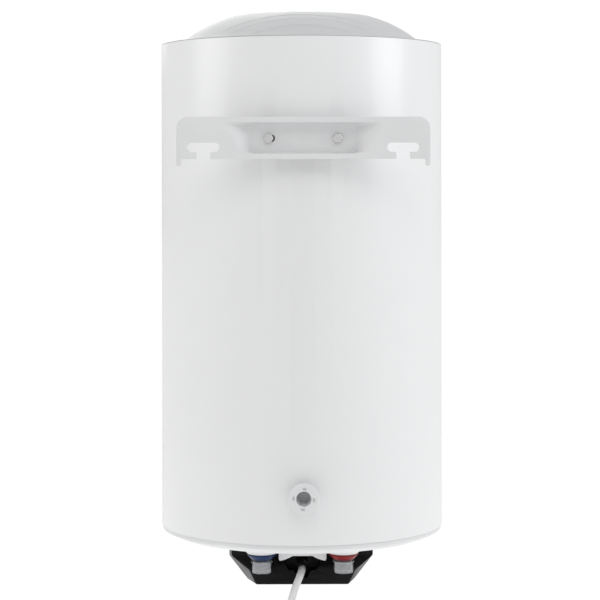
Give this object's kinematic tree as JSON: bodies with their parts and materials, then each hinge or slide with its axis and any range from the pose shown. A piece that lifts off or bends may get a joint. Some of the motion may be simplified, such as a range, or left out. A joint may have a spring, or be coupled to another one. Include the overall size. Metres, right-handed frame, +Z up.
{
  "type": "tank water heater",
  "caption": "Slim round electric storage water heater hung on a wall: enamelled jacket, domed caps, back bracket with hook slots, bottom pipe connections, black service cover and cord.",
  "frame": {"origin": "on the wall's plane, midway between the two hook slots of the wall bracket, on the slots' upper edge, which rests on the wall hooks", "axes": "+Y points into the wall, +Z is up along the tank's axis, and the user stands at -Y. The tank's axis is parallel to Z at y = -0.190 m. +X is the cold water side."},
  "size_m": [0.35, 0.365, 0.9608],
  "materials": {
    "white_enamel": "gloss",
    "white_powder_coat": "satin",
    "white_plastic": "satin",
    "light_grey_plastic": "satin",
    "black_plastic": "satin",
    "dark_grey_plastic": "satin",
    "blue_plastic": "satin",
    "blue_insulation": "satin",
    "red_plastic": "satin",
    "translucent_plastic": "satin",
    "white_cord": "satin",
    "plug_plastic": "satin",
    "zinc_plated_steel": "satin",
    "plain_steel": "satin",
    "vitreous_enamel": "gloss",
    "insulating_foam": "matte",
    "copper": "satin",
    "magnesium": "matte",
    "brass": "satin",
    "black_rubber": "matte",
    "amber_lens": "gloss",
    "cream_plastic": "satin",
    "brown_insulation": "satin",
    "green_insulation": "satin"
  },
  "bodies": {
    "heater": {"outer_jacket": "white_enamel", "wall_bracket": "white_powder_coat", "bottom_cap": "white_plastic", "pipe_plate": "white_plastic", "top_cap": "light_grey_plastic", "coil_tie": "black_plastic", "thermal_cutout": "dark_grey_plastic", "cold_collar": "blue_plastic", "lead_neutral": "blue_insulation", "hot_collar": "red_plastic", "inner_cord": "white_cord", "power_cord": "white_cord", "cord_tail": "white_cord", "cord_coil": "white_cord", "plug": "plug_plastic", "flange_bolt_1": "zinc_plated_steel", "flange_bolt_2": "zinc_plated_steel", "flange_bolt_3": "zinc_plated_steel", "flange_bolt_4": "zinc_plated_steel", "flange_bolt_5": "zinc_plated_steel", "flange_bolt_6": "zinc_plated_steel", "bracket_bolt_left": "zinc_plated_steel", "bracket_bolt_right": "zinc_plated_steel", "control_bracket": "zinc_plated_steel", "plug_pin_left": "zinc_plated_steel", "plug_pin_right": "zinc_plated_steel", "cold_pipe": "plain_steel", "hot_pipe": "plain_steel", "flange_plate": "plain_steel", "probe_pocket": "plain_steel", "tank_hanger": "plain_steel", "inner_tank": "vitreous_enamel", "insulation": "insulating_foam", "heating_element_1": "copper", "heating_element_2": "copper", "capillary": "copper", "magnesium_anode": "magnesium", "flange_gasket": "black_rubber", "cord_gland": "black_rubber", "cold_diffuser": "cream_plastic", "spacer_bush": "cream_plastic", "thermostat": "cream_plastic", "terminal_block": "cream_plastic", "lead_live": "brown_insulation", "lead_earth": "green_insulation"},
    "service_cover": {"service_cover": "black_plastic", "cover_screw_left": "zinc_plated_steel", "cover_screw_right": "zinc_plated_steel", "indicator_lens": "amber_lens"},
    "thermostat_knob": {"thermostat_knob": "dark_grey_plastic"},
    "thermostat_shaft": {"thermostat_shaft": "brass"},
    "reset_button": {"reset_button": "red_plastic"},
    "wall_spacer": {"wall_spacer": "white_plastic"},
    "cold_thread_cap": {"cold_thread_cap": "translucent_plastic"},
    "hot_thread_cap": {"hot_thread_cap": "translucent_plastic"}
  },
  "joints": [
    {"name": "cover_drop", "type": "slide", "parent": "heater", "child": "service_cover", "axis": [0, 0, 1], "range_m": [-0.08, 0]},
    {"name": "knob_turn", "type": "hinge", "parent": "service_cover", "child": "thermostat_knob", "pos_m": [0, -0.266, -0.555], "axis": [0, 0, 1], "range_deg": [0, 270]},
    {"name": "shaft_turn", "type": "hinge", "parent": "heater", "child": "thermostat_shaft", "pos_m": [0, -0.266, -0.547], "axis": [0, 0, 1], "range_deg": [0, 270]},
    {"name": "button_press", "type": "slide", "parent": "heater", "child": "reset_button", "axis": [0, 0, 1], "range_m": [0, 0.002], "stiffness_N_per_m": 400, "springref_m": -0.001},
    {"name": "spacer_adjust", "type": "slide", "parent": "heater", "child": "wall_spacer", "axis": [0, 1, 0], "range_m": [-0.008, 0.004]},
    {"name": "cold_cap_pull", "type": "slide", "parent": "heater", "child": "cold_thread_cap", "axis": [0, 0, 1], "range_m": [-0.03, 0]},
    {"name": "hot_cap_pull", "type": "slide", "parent": "heater", "child": "hot_thread_cap", "axis": [0, 0, 1], "range_m": [-0.03, 0]}
  ],
  "couplings": [
    {"joint": "shaft_turn", "follows": "knob_turn", "ratio": 1}
  ]
}
